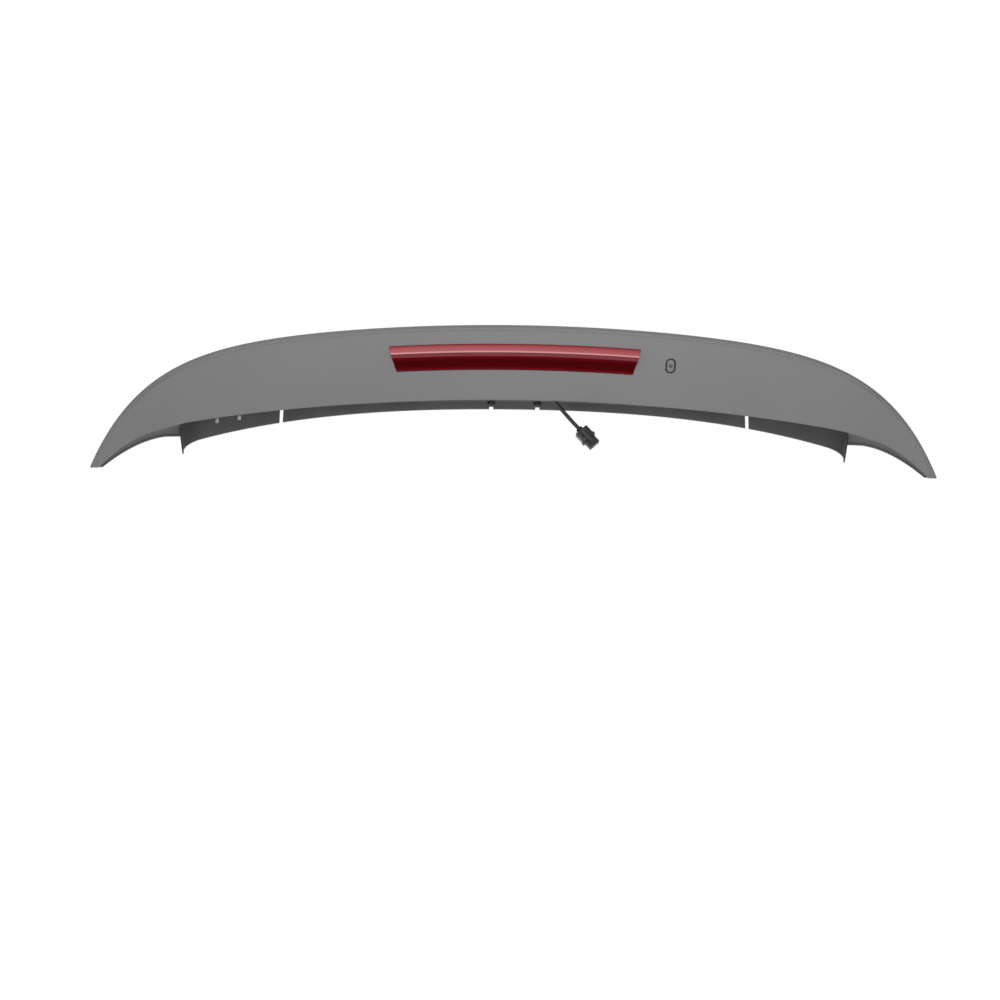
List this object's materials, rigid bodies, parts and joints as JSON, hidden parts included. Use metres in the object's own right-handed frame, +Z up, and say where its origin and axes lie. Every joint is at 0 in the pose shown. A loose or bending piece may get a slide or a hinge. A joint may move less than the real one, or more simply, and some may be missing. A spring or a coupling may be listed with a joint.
{
  "type": "car rear spoiler",
  "caption": "Primed tailgate spoiler: a curved hollow blade with swept horns, a high brake lamp in its rear face, a washer jet, threaded fixings and a short lead with a plug.",
  "frame": {"origin": "midway between the two inner threaded inserts, on the plane of their seat faces", "axes": "+X across the car to its right, +Y forward, +Z up; the rear face and lamp look back and down"},
  "size_m": [1.26, 0.3609, 0.1391],
  "materials": {
    "primer": "matte",
    "carrier": "matte",
    "insert": "satin",
    "foam": "matte",
    "clip": "satin",
    "spring": "satin",
    "lens": "gloss",
    "housing": "satin",
    "reflector": "gloss",
    "board": "satin",
    "diode": "gloss",
    "screw": "satin",
    "lead": "satin",
    "seal": "matte",
    "terminal": "satin",
    "jet_rubber": "matte"
  },
  "bodies": {
    "root": {"top_skin": "primer", "lower_skin": "primer", "inner_carrier": "carrier", "threaded_inserts": "insert", "centre_clips": "clip", "edge_clips": "spring", "lamp_lens": "lens", "lamp_housing": "housing", "lamp_reflector": "reflector", "lamp_board": "board", "lamp_diodes": "diode", "lamp_gasket": "foam", "lamp_screws": "screw", "lead_gland": "lead", "lamp_lead": "lead", "plug_housing": "clip", "plug_seal": "seal", "plug_terminals": "terminal", "jet_body": "primer", "jet_seal": "jet_rubber", "jet_nozzle": "jet_rubber"}
  },
  "joints": []
}
